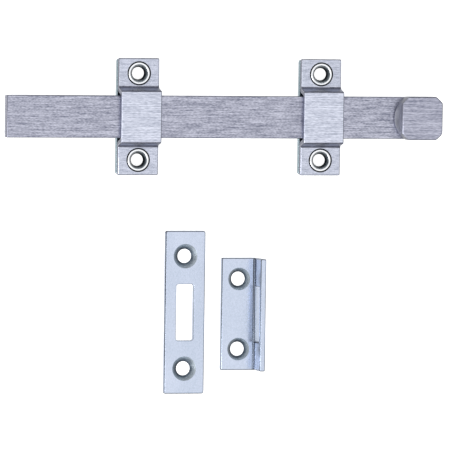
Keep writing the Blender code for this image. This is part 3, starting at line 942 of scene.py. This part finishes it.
def add_softbox(name, place, size, power):
    lamp = bpy.data.lights.new(name, "AREA")
    lamp.shape = "SQUARE"
    lamp.size = size
    lamp.energy = power
    softbox = bpy.data.objects.new(name, lamp)
    softbox.location = place
    softbox.rotation_euler = Vector(place).to_track_quat("Z", "Y").to_euler()
    softbox.visible_camera = False
    bpy.context.scene.collection.objects.link(softbox)


def build_room():
    """Room that is pale overhead and straight below, and dark round the horizon."""
    world = bpy.data.worlds.new("room")
    world.use_nodes = True
    tree = world.node_tree
    place = tree.nodes.new("ShaderNodeTexCoord")
    split = tree.nodes.new("ShaderNodeSeparateXYZ")
    height = tree.nodes.new("ShaderNodeMapRange")
    height.inputs["From Min"].default_value = -1.0
    levels = tree.nodes.new("ShaderNodeValToRGB")
    ramp = levels.color_ramp
    for step in ROOM_LEVELS[1:-1]:
        ramp.elements.new((step[0] + 1) / 2)
    for element, (sine, level) in zip(ramp.elements, ROOM_LEVELS):
        element.position = (sine + 1) / 2
        element.color = (level, level, level, 1.0)
    tree.links.new(place.outputs["Generated"], split.inputs[0])
    tree.links.new(split.outputs["Z"], height.inputs["Value"])
    tree.links.new(height.outputs["Result"], levels.inputs["Fac"])
    tree.links.new(levels.outputs["Color"], tree.nodes["Background"].inputs["Color"])
    bpy.context.scene.world = world


def build_camera():
    back = Vector((-math.tan(VIEW_FROM_LEFT), math.tan(VIEW_FROM_ABOVE), 1)).normalized()
    along = Vector((1, 0, 0))
    right = (along - back * along.dot(back)).normalized()
    up = back.cross(right)
    data = bpy.data.cameras.new("camera")
    data.sensor_width = SENSOR_WIDTH
    data.lens = SENSOR_WIDTH * VIEW_DISTANCE / VIEW_WIDTH
    data.clip_start = NEAREST
    data.clip_end = FURTHEST
    camera = bpy.data.objects.new("camera", data)
    turn = Matrix((right, up, back)).transposed().to_4x4()
    camera.matrix_world = Matrix.Translation(VIEW_AIM + back * VIEW_DISTANCE) @ turn
    bpy.context.scene.collection.objects.link(camera)
    bpy.context.scene.camera = camera


BAR_FINISH = brushed("brushed_bar", (0.19, 0.20, 0.27), (0.60, 0.61, 0.72), 0.17, 10 * MM)
KNOB_FINISH = brushed("brushed_knob", (0.22, 0.23, 0.31), (0.58, 0.59, 0.70), 0.19, 14 * MM)
SCOOP_FINISH = blasted("knob_scoop", (0.34, 0.35, 0.40), (0.48, 0.49, 0.55))
STRAP_FINISH = brushed("brushed_strap", (0.40, 0.43, 0.53), (0.78, 0.81, 0.93), 0.17, 14 * MM)
# Painted shade: a slightly darker copy of the strap's metal for the flanges.
FOOT_SHADE_FINISH = brushed("brushed_foot_painted_shade", (0.36, 0.39, 0.48), (0.71, 0.74, 0.86), 0.2, 3 * MM)
# Painted shade: a darker copy of the strap's metal for the leaning walls.
WALL_SHADE_FINISH = brushed("brushed_wall_painted_shade", (0.24, 0.26, 0.33), (0.50, 0.52, 0.62), 0.17, 14 * MM)
# Painted shadow: near-black metal in the seat round each eyelet's rim.
SEAT_SHADOW_FINISH = cut_metal("cut_seat_painted_shadow", (0.02, 0.025, 0.03), (0.08, 0.09, 0.10), 5.4 * MM, 1 * MM)
# Painted shade: a dark copy of the brushed metal for roundings, walls and cut ends, so they read as
# dark outlines.
METAL_EDGE_SHADE = brushed("painted_edge_shade", (0.10, 0.11, 0.15), (0.34, 0.35, 0.44), 0.16, 2 * MM)
ZINC_FINISH = zinc("zinc_plate_fine", (0.51, 0.58, 0.71), (0.63, 0.69, 0.83))
# Painted shade: a dark copy of the zinc for the strikes' rounded edges, as dark outlines.
ZINC_OUTLINE_SHADE = zinc("zinc_painted_outline_shade", (0.08, 0.10, 0.14), (0.26, 0.30, 0.37))
# Painted shade: a near-black copy of the zinc for creases and edges that lie in shade.
ZINC_CREASE_SHADE = zinc("zinc_painted_crease_shade", (0.02, 0.03, 0.05), (0.09, 0.11, 0.15))
# Painted highlight: the eyelets' zinc is coloured near white, so each rim shows as a bright ring.
EYELET_HIGHLIGHT_FINISH = zinc("zinc_eyelet", (0.88, 0.91, 0.96), (0.98, 0.99, 1.00))
BACK_FINISH = zinc("zinc_back_plate", (0.24, 0.33, 0.37), (0.46, 0.56, 0.62))
# Painted shade: dark metal inside each eyelet's mouth, darker further down.
BORE_SHADE_FINISH = cut_metal("cut_bore_painted_shade", (0.02, 0.03, 0.04), (0.45, 0.52, 0.58), 6 * MM, 2.6 * MM)
# Turned countersinks with real cutting rings, and painted shade that darkens them toward the hole.
SINK_SHADE_FINISH = cut_metal("cut_sink_painted_shade", (0.10, 0.13, 0.17), (0.62, 0.70, 0.78), 2.66 * MM, 2.2 * MM)
SPRING_FINISH = steel("spring_leaf", (0.22, 0.22, 0.24), (0.42, 0.42, 0.44))
SCREW_FINISH = steel("screw_head", (0.32, 0.32, 0.33), (0.55, 0.55, 0.56))

build_bar()
build_knob()
build_knob_screws()
for guide_side in ("left", "right"):
    build_strap(guide_side)
    build_back_plate(guide_side)
    build_eyelets(guide_side)
    build_leaf_spring(guide_side)
build_mortise_strike()
build_angle_strike()
build_floor()
for box_name, (box_place, box_size, box_power) in SOFTBOXES.items():
    add_softbox(box_name, box_place, box_size, box_power)
build_room()
build_camera()
bpy.context.scene.view_settings.view_transform = "Standard"
